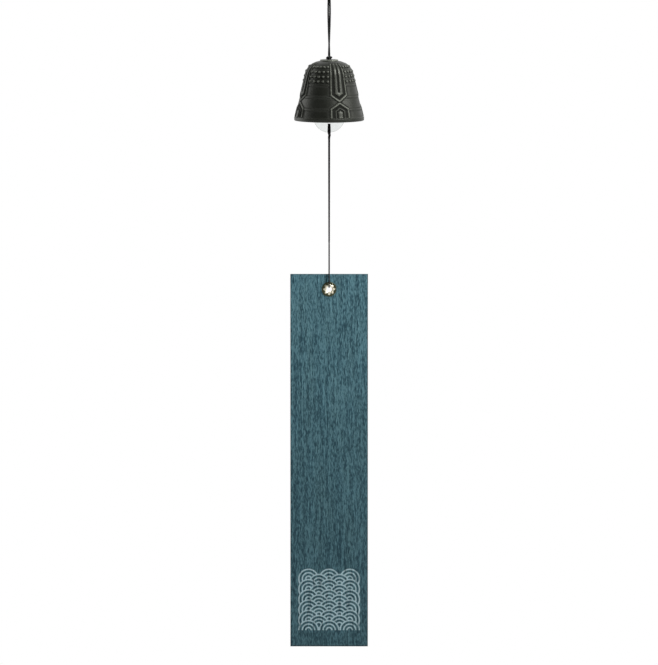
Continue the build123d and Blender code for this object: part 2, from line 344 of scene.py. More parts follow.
def route_line(route):
    """Points along the smooth line that the route's points pull towards them."""
    curve = bpy.data.curves.new("route", "CURVE")
    curve.dimensions = "3D"
    curve.resolution_u = 32
    spline = curve.splines.new("NURBS")
    spline.points.add(len(route) - 1)
    for point, place in zip(spline.points, route):
        point.co = (*place, 1)
    spline.order_u = 3
    spline.use_endpoint_u = True
    holder = bpy.data.objects.new("route", curve)
    mesh = bpy.data.meshes.new_from_object(holder)
    line = np.array([vertex.co for vertex in mesh.vertices])
    bpy.data.meshes.remove(mesh)
    bpy.data.curves.remove(curve)
    return line


def evenly(line, step):
    along = np.concatenate([[0], np.cumsum(np.linalg.norm(np.diff(line, axis=0), axis=1))])
    places = np.linspace(0, along[-1], max(3, round(along[-1] / step)))
    return np.stack([np.interp(places, along, line[:, axis]) for axis in range(3)], axis=1)


def unit(vectors):
    return vectors / np.linalg.norm(vectors, axis=-1, keepdims=True)


def laid_thread(line, diameter, closed=False):
    """A round thread of twisted plies along the line."""
    line = evenly(line, diameter * thread_step)
    if closed:
        line = line[:-1]
        forward = unit(np.roll(line, -1, axis=0) - np.roll(line, 1, axis=0))
    else:
        forward = unit(np.gradient(line, axis=0))
    side = np.zeros_like(line)
    across = np.cross(forward[0], (0.36, 0.48, 0.8))  # a direction that no cord sets out in
    for index, ahead in enumerate(forward):
        across = unit(across - ahead * (across @ ahead))
        side[index] = across
    up = np.cross(forward, side)
    step = np.linalg.norm(line[1] - line[0])
    along = np.arange(len(line)) * step
    turns = along[-1] / (ply_lay * diameter)
    if closed:
        drift = math.atan2(side[0] @ up[-1], side[0] @ side[-1])
        turn_rate = (2 * math.pi * round(turns) + drift) / len(line)
    else:
        turn_rate = 2 * math.pi * turns / len(line)
    angle = np.arange(thread_sides) * 2 * math.pi / thread_sides
    turned = angle[None, :] + (np.arange(len(line)) * turn_rate)[:, None]
    ply = np.abs(np.sin(angle * thread_plies / 2))[None, :] ** ply_fullness
    radius = diameter / 2 * (ply_swell - ply_groove * (1 - ply))
    points = line[:, None] + radius[..., None] * (
        np.cos(turned)[..., None] * side[:, None] + np.sin(turned)[..., None] * up[:, None]
    )
    return line, grid(points, ring=True, loop=closed, corner_map=(step / diameter, 1 / thread_sides))


def threads(name, lines, diameter, material):
    """A piece of one or more threads, and the line that each follows. A line with one place at both its ends
    is closed."""
    parts, caps, paths, start = [], [], [], 0
    for line in lines:
        closed = np.linalg.norm(line[0] - line[-1]) < 1e-6
        path, part = laid_thread(line, diameter, closed)
        parts.append(part)
        paths.append(path)
        end = start + len(part[0])
        if not closed:
            caps += [list(range(start, start + thread_sides)), list(range(end - thread_sides, end))]
        start = end
    return new_object(name, mesh_of(name, parts, caps), material), paths


def knot_line(middle, width, height, diameter, turn=0.0):
    """A pulled-tight overhand knot with its ends drawn in."""
    outer, rise = (width - diameter) / 2, (height - diameter) / 2
    swing = knot_swing * outer
    around = np.linspace(0, 2 * math.pi, knot_points)
    reach = outer - swing + swing * np.cos(3 * around)
    facing = 2 * around + turn
    line = np.stack([reach * np.cos(facing), reach * np.sin(facing), -rise * np.sin(3 * around)], axis=1)
    line[-1] = line[0]
    return line + np.array(middle)


def twisted(line, lay):
    """The line turned about the hanging line and drawn in to it, as the rows of lay say."""
    heights, turns, shares = np.array(sorted(lay)).T
    turn = np.radians(np.interp(line[:, 2], heights, turns))
    share = np.interp(line[:, 2], heights, shares)
    x, y = line[:, 0] * share, line[:, 1] * share
    cos, sin = np.cos(turn), np.sin(turn)
    return np.stack([x * cos - y * sin, x * sin + y * cos, line[:, 2]], axis=1)


def pulled(line):
    """The hitch drawn tight: most under the disc's edge, and less where its bar lies on the disc."""
    share = np.interp(line[:, 2], *zip(*hitch_pull))
    beside = np.abs(line[:, 0])
    inner = np.minimum(beside, hitch_snug)
    line[:, 0] = np.sign(line[:, 0]) * (inner + share * (beside - inner))
    return line


def mirrored(half, x=1, y=1):
    """The half route, and the same way back on the other side."""
    return half + [(x * px, y * py, pz) for px, py, pz in reversed(half)]


hanging_route = mirrored(
    [(-0.0007, 0, cord_foot), (-0.0007, 0, -0.0180), (-0.0031, 0, -0.0060), (-0.0031, 0, 0.0006)], x=-1
)
clapper_route = mirrored(
    [(-0.0006, 0, stopper_z), (0, -0.0027, -0.0939), (0, -0.0027, -0.10235)], x=-1, y=-1
)
hitch_route = mirrored(
    [
        (-0.0006, 0, hitch_tail),
        (-0.0006, 0, -0.1252),
        (-0.0006, 0, -0.1240),
        (-0.0006, -0.0021, -0.1216),
        (-0.0006, -0.0021, -0.1145),
        (-0.0006, 0.0021, -0.1145),
        (-0.00175, 0.0021, -0.1216),
        (-0.00175, -0.0033, -0.1216),
        (-0.00175, -0.0033, -0.1196),
    ],
    x=-1,
)
wind_route = [(-0.0006, 0, hitch_tail), (-0.0006, 0, -0.1650), (-0.0006, 0, -0.20645)]
strip_loop_route = mirrored(
    [(0, -0.0006, -0.20675), (0, -0.00225, -0.2334), (0, -0.00225, -0.2409)], x=-1, y=-1
)


def hanging_cord(material):
    line = twisted(route_line(hanging_route), cord_lay)
    cord, paths = threads("hanging_cord_laid", [line], cord_dia, material)
    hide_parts("hanging_cord")
    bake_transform(cord)
    return cord, paths[0]


def cord_knots(material):
    low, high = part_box("crown_knot")
    middle = (low + high) / 2
    crown = knot_line(middle, high.x - low.x, high.z - low.z, cord_dia, turn=0.5)
    crown_knot, _ = threads("crown_knot_tied", [crown], cord_dia, material)
    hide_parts("crown_knot")
    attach(crown_knot, "crown_knot")

    low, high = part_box("stopper_knot")
    foot = low.z + stopper_height / 2
    stopper = knot_line((0, 0, foot), high.x - low.x, stopper_height, cord_dia)
    side = high.x / 5
    strands = [
        route_line([(way * side, 0, high.z), (way * side, 0, (foot + high.z) / 2), (way * side, 0, foot)])
        for way in (-1, 1)
    ]
    stopper_knot, _ = threads("stopper_knot_tied", [stopper, *strands], cord_dia, material)
    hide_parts("stopper_knot")
    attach(stopper_knot, "bell")
    return [crown_knot, stopper_knot]


def thread_piece(name, node, line, material):
    piece, paths = threads(name, [line], thread_dia, material)
    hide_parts(node)
    return piece, paths[0]


def lower_threads(material):
    """Every stretch of the thread below the stopper knot, each with the line that it follows."""
    clapper_thread = thread_piece("clapper_thread", "clapper_cord", route_line(clapper_route), material)
    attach(clapper_thread[0], "clapper_cord")
    tight = twisted(pulled(route_line(hitch_route)), hitch_lay)
    hitch = thread_piece("wind_hitch_thread", "wind_hitch", tight, material)
    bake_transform(hitch[0])
    strands = []
    for name, way in (("wind_thread_left", 1), ("wind_thread_right", -1)):
        line = twisted(route_line(wind_route) * (way, 1, 1), wind_lay)
        strands.append(thread_piece(name, "wind_cord", line, material))
        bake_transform(strands[-1][0])
    loop = thread_piece("strip_loop_thread", "strip_loop", route_line(strip_loop_route), material)
    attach(loop[0], "strip_loop")
    return clapper_thread, hitch, strands, loop


def closing_knot(material):
    low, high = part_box("closing_knot")
    line = knot_line((low + high) / 2, high.x - low.x + closing_spread, high.z - low.z, thread_dia)
    knot, _ = threads("closing_knot_tied", [line], thread_dia, material)
    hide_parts("closing_knot")
    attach(knot, "strip_loop")
    return knot


# Bell

def smooth(value):
    value = np.clip(value, 0, 1)
    return value * value * (3 - 2 * value)


def inside_point(across, height, way):
    """Distance inside the outline of the upper bands, point down (way 1), or the lower, point up (way -1)."""
    slant = (way * (height - point_height) + point_lap) * math.cos(point_slope)
    return np.minimum(band_reach - np.abs(across), slant - np.abs(across) * math.sin(point_slope))


def nested(inside, widths):
    """Share of the full rise, for bands and grooves by turns at a distance inside the outermost edge."""
    share = np.zeros(inside.shape)
    edges = [0, *np.cumsum(widths)]
    edges += [1] * (len(edges) % 2)  # a band in the middle has no inner edge
    for start, end in zip(edges[::2], edges[1::2]):
        depth = np.minimum(inside - start, end - inside)
        steep, gentle = smooth(depth / band_edge + 0.5), smooth(depth / band_crown)
        share = np.maximum(share, band_edge_share * steep + (1 - band_edge_share) * gentle)
    return share


def bell_relief(turn, height):
    """Rise of the ornament over the plain bell, how much of it hands rub and a painted highlight lightens,
    and its share of groove floor, which also gets painted shade.
    """
    local = np.mod(turn - group_turn + quarter / 2, quarter) - quarter / 2
    across = local * gauge_radius
    below_top = smooth((band_top - height) / band_top_edge)
    upper = inside_point(across, height, 1)
    lower = inside_point(across, height, -1)
    inside = np.maximum(upper, lower)
    share = np.maximum(nested(upper, upper_widths) * below_top, nested(lower, lower_widths))
    within = smooth(np.maximum(upper - groove_inset * (1 - below_top), lower) / band_edge)
    outside = smooth(-(inside + ring_gap) / band_edge)
    rings = np.zeros(across.shape)
    for ring in ring_heights:
        rings = np.maximum(rings, smooth(ring_flat - np.abs(height - ring) / ring_half))
    between = smooth((height - ripple_low) / ripple_end) * smooth((ripple_high - height) / ripple_end)
    ripple = between * ripple_rise * (1 + np.sin(height * 2 * math.pi / ripple_pitch))
    plain = np.maximum(rings * ring_rise, ripple) * outside
    floor = within * below_top * (1 - share)
    rubbed_and_lit = share * (1 - rub_highlight_inner * smooth((inside - rub_highlight_reach) / rub_highlight_fade))
    return plain + band_rise * share - groove_depth * floor, rubbed_and_lit, floor


def bell_turns():
    """Angles of the casting's columns, close together in the groups of bands and wider between them."""
    group = np.linspace(-group_half, group_half, group_columns, endpoint=False)
    panel = np.linspace(group_half, quarter - group_half, panel_columns, endpoint=False)
    one = np.concatenate([group, panel]) + group_turn
    return np.concatenate([one + quarter * side for side in range(bell_sides)])


def stretch(start, end, step):
    """Places from start towards end, about a step apart, without the end itself."""
    length = math.dist(start, end)
    count = max(1, round(length / step))
    return [tuple(a + (b - a) * i / count for a, b in zip(start, end)) for i in range(count)]


def arc(middle, radius, first, last, step):
    """Places on an arc from one angle towards another, about a step apart, without the last."""
    count = max(2, round(abs(last - first) * radius / step))
    angles = [first + (last - first) * i / count for i in range(count)]
    return [(middle[0] + radius * math.cos(a), middle[1] + radius * math.sin(a)) for a in angles]


def shoulder_place(angle):
    return (
        shoulder_middle[0] + shoulder_round * math.cos(angle),
        shoulder_middle[1] + shoulder_round * math.sin(angle),
    )


def bell_outline():
    """The bell's section as (radius, height), round from the crown hole over the outside to the inside,
    and the first and last places that carry ornament."""
    edge, rim_edge, mouth_edge = 0.00035, 0.0006, 0.0005  # rounding of boss and lip, rim and inner rim
    inset = 0.0001  # keeps a sharp inner corner's places apart
    edge_step, rim_step, lip_step, boss_step = 0.00014, 0.0002, 0.0005, 0.001
    crown_step, sole_step = 0.0006, 0.0007
    inner_step, inner_round_step, ceiling_step = 0.0022, 0.0012, 0.0015
    boss_foot = bell_height - boss_height
    ceiling = boss_foot - crown_wall
    lip_top = (mouth_radius - lean * lip_height, lip_height)
    lip_flat = lip_height - inset
    inner_rim = mouth_radius - wall
    corner = (inner_rim - lean * ceiling, ceiling)
    reach = inner_round * math.tan((math.pi / 2 - flank_angle) / 2)
    inner_top = (corner[0] + reach * math.sin(flank_angle), ceiling - reach * math.cos(flank_angle))
    hole_edge = crown_hole_radius + edge

    places = [(crown_hole_radius, bell_height - edge), (hole_edge, bell_height)]
    places += stretch((hole_edge + edge, bell_height), (boss_radius - edge, bell_height), boss_step)
    places += arc((boss_radius - edge, bell_height - edge), edge, math.pi / 2, 0, edge_step)
    places += [(boss_radius, bell_height - edge), (boss_radius, boss_foot + inset)]
    places += stretch((boss_radius + 2 * inset, boss_foot), shoulder_place(crown_angle), crown_step)
    first = len(places)
    places += arc(shoulder_middle, shoulder_round, crown_angle, flank_angle, relief_step)
    flank_foot = (lip_top[0] + 2 * lean * inset, lip_top[1] + 2 * inset)
    places += stretch(shoulder_place(flank_angle), flank_foot, relief_step)
    last = len(places)
    places += [(lip_top[0] + inset, lip_height), (mouth_radius - edge, lip_flat)]
    places += arc((mouth_radius - edge, lip_flat - edge), edge, math.pi / 2, 0, edge_step)
    places += stretch((mouth_radius, lip_flat - edge), (mouth_radius, rim_edge), lip_step)
    places += arc((mouth_radius - rim_edge, rim_edge), rim_edge, 0, -math.pi / 2, rim_step)
    places += stretch((mouth_radius - rim_edge, 0), (inner_rim + mouth_edge, 0), sole_step)
    places += arc((inner_rim + mouth_edge, mouth_edge), mouth_edge, -math.pi / 2, -math.pi, rim_step)
    places += stretch((inner_rim - lean * mouth_edge, mouth_edge), inner_top, inner_step)
    inner_middle = (corner[0] - reach, ceiling - inner_round)
    places += arc(inner_middle, inner_round, flank_angle, math.pi / 2, inner_round_step)
    places += stretch((corner[0] - reach, ceiling), (hole_edge, ceiling), ceiling_step)
    places += [(hole_edge, ceiling), (crown_hole_radius, ceiling + edge)]
    return np.array(places), first, last


def bell(material):
    places, first, last = bell_outline()
    turn = bell_turns()
    radius = np.repeat(places[:, :1], len(turn), axis=1)
    height = np.repeat(places[:, 1:], len(turn), axis=1)
    rise, band, floor = np.zeros((3, *radius.shape))
    rise[first:last], band[first:last], floor[first:last] = bell_relief(turn[None, :], height[first:last])
    fade = smooth((np.arange(first, last) - first) / relief_rows)[:, None]
    rise[first:last] *= fade
    waves = cast_wave * np.sin(cast_lobes * turn + 1.1)[None, :] * np.sin(height * cast_beat + 0.4)
    rise[first:last] += waves[first:last] * fade
    moved = rise / math.cos(crown_slope + flank_angle)  # along the crown's slope, which lifts only the flank
    radius = radius + moved * math.cos(crown_slope)
    height = height - moved * math.sin(crown_slope)
    points = np.stack([radius * np.sin(turn), -radius * np.cos(turn), height + rim_z], axis=2)
    skin = grid(points, ring=True, loop=True, corner_map=(1 / len(places), 1 / len(turn)))
    mesh = mesh_of("bell_casting", [skin])
    steps = (-neighbour, 0, neighbour)
    around = sum(np.roll(np.roll(rise, i, axis=0), j, axis=1) for i in steps for j in steps) / len(steps) ** 2
    # raised edges and band faces paler: rubbing and painted highlight
    wear = band * (wear_flat + (1 - wear_flat) * np.clip((rise - around) / wear_edge_rise, 0, 1))
    on_boss = (places[:, 1] > bell_height - wear_boss_height) & (places[:, 0] > boss_radius - wear_boss_width)
    wear[on_boss] = wear_boss
    # painted shade: darker in hollows and on the floors between the bands
    hollow = np.clip((around - rise) / hollow_shade_depth, groove_floor_shade * floor, 1)
    mark(mesh, wear=wear, hollow=hollow)
    casting = new_object("bell_casting", mesh, material)
    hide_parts("bell")
    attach(casting, "bell")


def flank_at(height):
    """Radius of the plain bell at a height, and its outward direction as (radius, height)."""
    rise = height - shoulder_middle[1]
    if rise < shoulder_round * math.sin(flank_angle):
        return mouth_radius - lean * height, (math.cos(flank_angle), math.sin(flank_angle))
    across = math.sqrt(shoulder_round**2 - rise**2)
    return shoulder_middle[0] + across, (across / shoulder_round, rise / shoulder_round)


def geometry_tree(name, **sizes):
    """A geometry tree with an input for each size and one for the material that its pieces get."""
    inputs = {"Geometry": "Geometry", **sizes, "Finish": "Material"}
    return new_group(name, "GeometryNodeTree", inputs, {"Geometry": "Geometry"})


def finish_tree(tree, instances, source, output):
    """The end of a geometry tree: its instances made real, smooth and of the material that it is given."""
    real = add_node(tree, "GeometryNodeRealizeInstances", Geometry=instances)
    shaded = add_node(tree, "GeometryNodeSetShadeSmooth", Geometry=real.outputs["Geometry"])
    coated = add_node(tree, "GeometryNodeSetMaterial", Geometry=shaded.outputs["Geometry"])
    feed(tree, coated.inputs["Material"], source.outputs["Finish"])
    feed(tree, output.inputs["Geometry"], coated.outputs["Geometry"])


def grown(name, seed_mesh, tree, values):
    """A plain mesh object of what the tree makes of the seed mesh."""
    seed = add_object(name, seed_mesh)
    modifier = seed.modifiers.new("grow", "NODES")
    modifier.node_group = tree
    for item in tree.interface.items_tree:
        if item.item_type == "SOCKET" and item.in_out == "INPUT" and item.name in values:
            modifier[item.identifier] = values[item.name]
    mesh = baked(seed)
    bpy.data.objects.remove(seed)
    return add_object(name, mesh)


def stud_tree():
    """A low dome on each seat, along the seat's outward direction, paler on its top from rubbing and from a
    painted highlight.
    """
    tree, source, output = geometry_tree("studs", **{"Stud Width": "Float", "Stud Rise": "Float"})
    dome = add_node(tree, "GeometryNodeMeshUVSphere", Segments=stud_sides, Rings=stud_rings, Radius=1.0)
    spot = add_node(tree, "GeometryNodeInputPosition").outputs["Position"]
    up = add_node(tree, "ShaderNodeSeparateXYZ", Vector=spot).outputs["Z"]
    lit_tops = add_node(tree, "ShaderNodeMapRange", Value=up, From_Min=stud_wear_from, To_Max=stud_wear)
    rubbed_and_lit = add_node(
        tree, "GeometryNodeStoreNamedAttribute", {"data_type": "FLOAT"},
        Geometry=dome.outputs["Mesh"], Name="wear", Value=lit_tops.outputs["Result"],
    )
    outward = add_node(tree, "GeometryNodeInputNamedAttribute", {"data_type": "FLOAT_VECTOR"}, Name="outward")
    align = add_node(
        tree, "FunctionNodeAlignRotationToVector", {"axis": "Z"}, Vector=outward.outputs["Attribute"]
    )
    half = add_math(tree, "MULTIPLY", source.outputs["Stud Width"], 0.5)
    size = add_node(tree, "ShaderNodeCombineXYZ", X=half, Y=half, Z=source.outputs["Stud Rise"])
    points = add_node(tree, "GeometryNodeMeshToPoints", Mesh=source.outputs["Geometry"])
    place = add_node(
        tree, "GeometryNodeInstanceOnPoints",
        Points=points.outputs["Points"], Instance=rubbed_and_lit.outputs["Geometry"],
        Rotation=align.outputs["Rotation"], Scale=size.outputs["Vector"],
    )
    finish_tree(tree, place.outputs["Instances"], source, output)
    return tree


def bell_studs(material):
    """A panel of small domes on each side, between the groups of bands."""
    seats, outwards = [], []
    for side in range(bell_sides):
        panel_turn = group_turn + (side + 0.5) * quarter
        for row in range(stud_rows):
            height = stud_foot + row * stud_pitch
            radius, (out, up) = flank_at(height)
            for column in range(stud_columns):
                turn = panel_turn + (column - (stud_columns - 1) / 2) * stud_turn
                seats.append((radius * math.sin(turn), -radius * math.cos(turn), rim_z + height))
                outwards.append((out * math.sin(turn), -out * math.cos(turn), up))
    mesh = plain_mesh("stud_seats", seats)
    outward = mesh.attributes.new("outward", "FLOAT_VECTOR", "POINT")
    outward.data.foreach_set("vector", np.array(outwards, np.float32).ravel())
    sizes = {"Stud Width": stud_width, "Stud Rise": stud_rise, "Finish": material}
    studs = grown("bell_studs", mesh, stud_tree(), sizes)
    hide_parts("bell")
    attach(studs, "bell")


# Clapper

def add_circle(curve, middle_y, radius):
    """A closed round spline of four points about a middle on the curve's Y axis."""
    spline = curve.splines.new("BEZIER")
    spline.bezier_points.add(3)
    for index, point in enumerate(spline.bezier_points):
        angle = index * math.pi / 2
        ahead = Vector((-math.sin(angle), math.cos(angle), 0)) * radius * circle_handle
        point.handle_left_type = point.handle_right_type = "FREE"
        point.co = (radius * math.cos(angle), middle_y + radius * math.sin(angle), 0)
        point.handle_left = point.co - ahead
        point.handle_right = point.co + ahead
    spline.use_cyclic_u = True


def clapper(material):
    """A clear disc with polished round edges and two holes."""
    middle = (clapper_low + clapper_high) / 2
    radius = (clapper_high.x - clapper_low.x) / 2
    half = (clapper_high.y - clapper_low.y) / 2
    curve = bpy.data.curves.new("clapper_disc", "CURVE")
    curve.dimensions = "2D"
    curve.fill_mode = "BOTH"
    curve.extrude = half - clapper_edge
    curve.bevel_depth = clapper_edge
    curve.bevel_resolution = 3
    curve.resolution_u = 24
    add_circle(curve, 0, radius - clapper_edge)
    for way in (1, -1):
        add_circle(curve, way * clapper_hole_offset, clapper_hole_radius + clapper_edge)
    holder = add_object("clapper_disc", curve)
    mesh = baked(holder)
    bpy.data.objects.remove(holder)
    face_outwards(mesh, merged=1e-6)
    mesh.transform(Matrix.Translation(middle) @ Matrix.Rotation(math.pi / 2, 4, "X"))
    disc = new_object("clapper_disc", mesh, material)
    mesh.set_sharp_from_angle(angle=math.radians(35))
    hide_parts("clapper")
    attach(disc, "clapper")


# Eyelet

def lathe(section, columns, middle):
    """A ring about the Y axis from a closed section of (radius, y) places."""
    turn = np.arange(columns) * 2 * math.pi / columns
    section = np.array(section)
    radius, depth = section[:, :1], np.repeat(section[:, 1:], columns, axis=1)
    points = np.stack([radius * np.sin(turn), depth, radius * np.cos(turn)], axis=2) + np.array(middle)
    return grid(points, ring=True, loop=True)


def petal_mesh():
    """One petal of the split tube, rolled out and down on the washer."""
    foot = washer_low.y
    lift = eyelet_low.y + eyelet_metal / 2 - foot
    root = eyelet_bore + eyelet_metal / 2
    roll = 0.75  # the lower, the sooner the petal leaves the bore
    rise_end = 1 / 1.55  # shares of the petal's length: it rises to here
    fall_start, fall = 0.42, 0.78  # from here it falls again, by this much of its rise
    swell = 0.35  # of the petal's width in its middle
    tip_start, tip_blunt = 0.45, 0.03  # from here it narrows to a blunt tip
    hollow = 0.00006  # its sides curl up by this
    rows = []
    for row in range(petal_rows):
        share = row / (petal_rows - 1)
        reach = root + (petal_reach - root) * (1 - math.cos(share * math.pi / 2)) ** roll
        fallen = fall * float(smooth((share - fall_start) / (1 - fall_start)))
        depth = foot + lift * (math.sin(min(1, share / rise_end) * math.pi / 2) - fallen)
        full = petal_half * root * (1 + swell * math.sin(share * math.pi))
        to_tip = max(0.0, (share - tip_start) / (1 - tip_start))
        half = full * math.sqrt(max(tip_blunt, 1 - to_tip**2))
        places = []
        for side in np.linspace(-1, 1, petal_columns):
            turn = side * half / reach
            places.append((reach * math.sin(turn), depth + hollow * side**2, reach * math.cos(turn)))
        rows.append(places)
    points, faces, _ = grid(np.array(rows))
    return plain_mesh("petal", points.tolist(), faces.tolist())


def petal_tree():
    """The petal repeated round the eyelet's middle."""
    tree, source, output = geometry_tree("petals", Count="Float", Height="Float")
    count = source.outputs["Count"]
    spot = add_node(tree, "ShaderNodeCombineXYZ", Z=source.outputs["Height"])
    points = add_node(tree, "GeometryNodePoints", Count=count, Position=spot.outputs["Vector"])
    share = add_math(tree, "DIVIDE", add_node(tree, "GeometryNodeInputIndex").outputs["Index"], count)
    spin = add_node(tree, "ShaderNodeCombineXYZ", Y=add_math(tree, "MULTIPLY", share, 2 * math.pi))
    turn = add_node(tree, "FunctionNodeEulerToRotation", Euler=spin.outputs["Vector"])
    place = add_node(
        tree, "GeometryNodeInstanceOnPoints",
        Points=points.outputs["Points"], Instance=source.outputs["Geometry"],
        Rotation=turn.outputs["Rotation"],
    )
    finish_tree(tree, place.outputs["Instances"], source, output)
    return tree


def solid_sheet(obj, thickness):
    """The object's sheet given a thickness, half of it on either side."""
    modifier = obj.modifiers.new("thickness", "SOLIDIFY")
    modifier.thickness = thickness
    modifier.offset = 0
    modifier.use_even_offset = False
    mesh = baked(obj)
    obj.modifiers.clear()
    obj.data = mesh


def turned_ring(name, section, columns, material):
    """A ring round the eyelet's middle."""
    ring = new_object(name, mesh_of(name, [lathe(section, columns, (0, 0, eyelet_z))]), material)
    ring.data.set_sharp_from_angle(angle=math.radians(40))
    return ring


def eyelet(material, washer_material):
    """The petals of the split tube, its barrel with the flange behind the strip, and the washer, whose dark
    reflection is painted into its colour.
    """
    sizes = {"Count": petal_count, "Height": eyelet_z, "Finish": material}
    petals = grown("eyelet_petals", petal_mesh(), petal_tree(), sizes)
    solid_sheet(petals, petal_metal)
    front, rear, back = washer_low.y, washer_high.y, eyelet_high.y
    flange = (eyelet_high.x - eyelet_low.x) / 2
    skin = eyelet_bore + eyelet_metal
    tucked = front - 0.0002  # the barrel ends under the petals
    roll = 0.0001  # a step round the barrel's rolled edges
    barrel_section = [
        (eyelet_bore, tucked),
        (eyelet_bore, back - 4 * roll),
        (eyelet_bore + roll, back - roll),
        (eyelet_bore + 4 * roll, back),
        (flange - 3 * roll, back),
        (flange - roll, back - roll),
        (flange, back - 3 * roll),
        (skin + roll, back - 3 * roll),
        (skin, back - 4 * roll),
        (skin, tucked),
    ]
    barrel = turned_ring("eyelet_barrel", barrel_section, 64, material)
    outer = (washer_high.x - washer_low.x) / 2
    washer_bore = skin + 0.00005
    washer_section = [
        (washer_bore, front),
        (outer - 0.0006, front),
        (outer - 0.0002, front + 0.00005),
        (outer, front + 0.00018),
        (outer, rear),
        (washer_bore, rear),
    ]
    washer = turned_ring("eyelet_washer_ring", washer_section, 72, washer_material)
    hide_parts("eyelet")
    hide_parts("eyelet")
    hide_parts("eyelet_washer")
    for piece, slot in ((petals, "eyelet_brass"), (barrel, "eyelet_brass"), (washer, "washer_brass")):
        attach(piece, "paper_strip")


# Paper strip

def soft_noise(across, along, cell, seed):
    """Smooth random heights from -1 to 1 over cells of that size."""
    count, start = 420, 40
    heights = np.random.default_rng(seed).uniform(-1, 1, (count, count))
    u, v = across / cell[0] + start, along / cell[1] + start
    i, j = np.floor(u).astype(int), np.floor(v).astype(int)
    s, t = smooth(u - i), smooth(v - j)
    i, j = i % (count - 1), j % (count - 1)
    low = heights[i, j] * (1 - s) + heights[i + 1, j] * s
    high = heights[i, j + 1] * (1 - s) + heights[i + 1, j + 1] * s
    return low * (1 - t) + high * t


def creases(across, along):
    """Height of the crepe, from -1 to 1: narrow streaks and short wrinkles, on folds that wander a little."""
    wandered = across + crepe_drift * soft_noise(across, along, drift_cell, 11)
    streaks = soft_noise(wandered + streak_slant * along, along, streak_cell, 1)
    wrinkles = soft_noise(wandered + wrinkle_slant * along, along, wrinkle_cell, 2)
    strength = 0.6 + 0.4 * soft_noise(across, along, fold_cell, 3)
    folds = np.sin(wandered * 2 * math.pi / fold_pitch) * strength
    return np.clip(streak_share * streaks + wrinkle_share * wrinkles + fold_share * folds, -1, 1)


def paper_strip(material):
    """The crepe sheet with a round hole for the eyelet."""
    x = np.linspace(strip_low.x, strip_high.x, strip_columns)
    z = np.linspace(strip_high.z, strip_low.z, strip_rows)
    across, along = np.meshgrid(x, z)
    away = np.hypot(across, along - eyelet_z)
    crease = creases(across, along) * smooth((away - pressed_reach) / pressed_fade)
    below = strip_high.z - along
    wave = bow * np.sin(-below * bow_beat) * smooth((below - bow_start) / bow_fade)
    points, faces, _ = grid(np.stack([across, crease_rise * crease + wave, along], axis=2))
    hole = eyelet_bore + eyelet_metal + 0.00005
    inside = (np.hypot(points[:, 0], points[:, 2] - eyelet_z) < hole)[faces].any(axis=1)
    kept = faces[~inside]
    rim = np.intersect1d(np.unique(faces[inside]), np.unique(kept))
    offset = points[rim] - np.array((0, 0, eyelet_z))
    reach = np.hypot(offset[:, 0], offset[:, 2])
    points[rim, 0] = offset[:, 0] / reach * hole
    points[rim, 2] = offset[:, 2] / reach * hole + eyelet_z
    mesh = plain_mesh("paper_strip_crepe", points.tolist(), kept.tolist())
    to_edge = np.minimum.reduce([across - strip_low.x, strip_high.x - across, below, along - strip_low.z])
    mark(mesh, crease=0.5 + 0.5 * crease, edge=smooth(1.3 - to_edge / cut_edge))
    shell = bmesh.new()
    shell.from_mesh(mesh)
    bmesh.ops.delete(shell, geom=[v for v in shell.verts if not v.link_faces], context="VERTS")
    shell.to_mesh(mesh)
    shell.free()
    strip = new_object("paper_strip_crepe", mesh, material)
    solid_sheet(strip, paper_core)
    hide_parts("paper_strip")
    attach(strip, "paper_strip")
    return strip


# Materials

class Finish:
    """A material with its shader, and short ways to add and join nodes."""

    def __init__(self, name):
        self.material = bpy.data.materials.new(name)
        self.material.use_nodes = True
        self.tree = self.material.node_tree
        self.shader = self.tree.nodes["Principled BSDF"]

    def node(self, kind, settings=None, **inputs):
        return add_node(self.tree, kind, settings, **inputs)

    def math(self, operation, *values, clamp=False):
        return add_math(self.tree, operation, *values, clamp=clamp)

    def plus(self, first, second):
        return self.math("ADD", first, second)

    def minus(self, first, second, clamp=False):
        return self.math("SUBTRACT", first, second, clamp=clamp)

    def times(self, first, second):
        return self.math("MULTIPLY", first, second)

    def marked(self, name):
        """What the piece's points are marked with under that name."""
        return self.node("ShaderNodeAttribute", {"attribute_name": name}).outputs["Fac"]

    def axes(self, vector):
        return self.node("ShaderNodeSeparateXYZ", Vector=vector).outputs

    def mix(self, share, first, second):
        """Two colours mixed."""
        node = self.node("ShaderNodeMix", {"data_type": "RGBA"}, Factor=share)
        feed(self.tree, node.inputs[6], first)
        feed(self.tree, node.inputs[7], second)
        return node.outputs[2]

    def spread(self, value, low, high, first=0.0, last=1.0):
        """A value from first to last made one from low to high."""
        node = self.node(
            "ShaderNodeMapRange", Value=value, From_Min=first, From_Max=last, To_Min=low, To_Max=high
        )
        return node.outputs["Result"]

    def bump(self, height, distance, strength):
        node = self.node("ShaderNodeBump", Height=height, Distance=distance, Strength=strength)
        self.set(Normal=node.outputs["Normal"])

    def set(self, **inputs):
        for name, value in inputs.items():
            feed(self.tree, self.shader.inputs[name.replace("_", " ")], value)


def grain_group():
    """Two sizes of noise on a piece's own coordinates, as a mottle and a fine skin."""
    inputs = {"Vector": "Vector", "Mottle Scale": "Float", "Skin Scale": "Float"}
    tree, source, output = new_group("grain", "ShaderNodeTree", inputs, {"Mottle": "Float", "Skin": "Float"})
    for name, detail in (("Mottle", 3.0), ("Skin", 5.0)):
        noise = add_node(
            tree, "ShaderNodeTexNoise",
            Vector=source.outputs["Vector"], Scale=source.outputs[f"{name} Scale"],
            Detail=detail, Roughness=0.6,
        )
        feed(tree, output.inputs[name], noise.outputs["Fac"])
    return tree


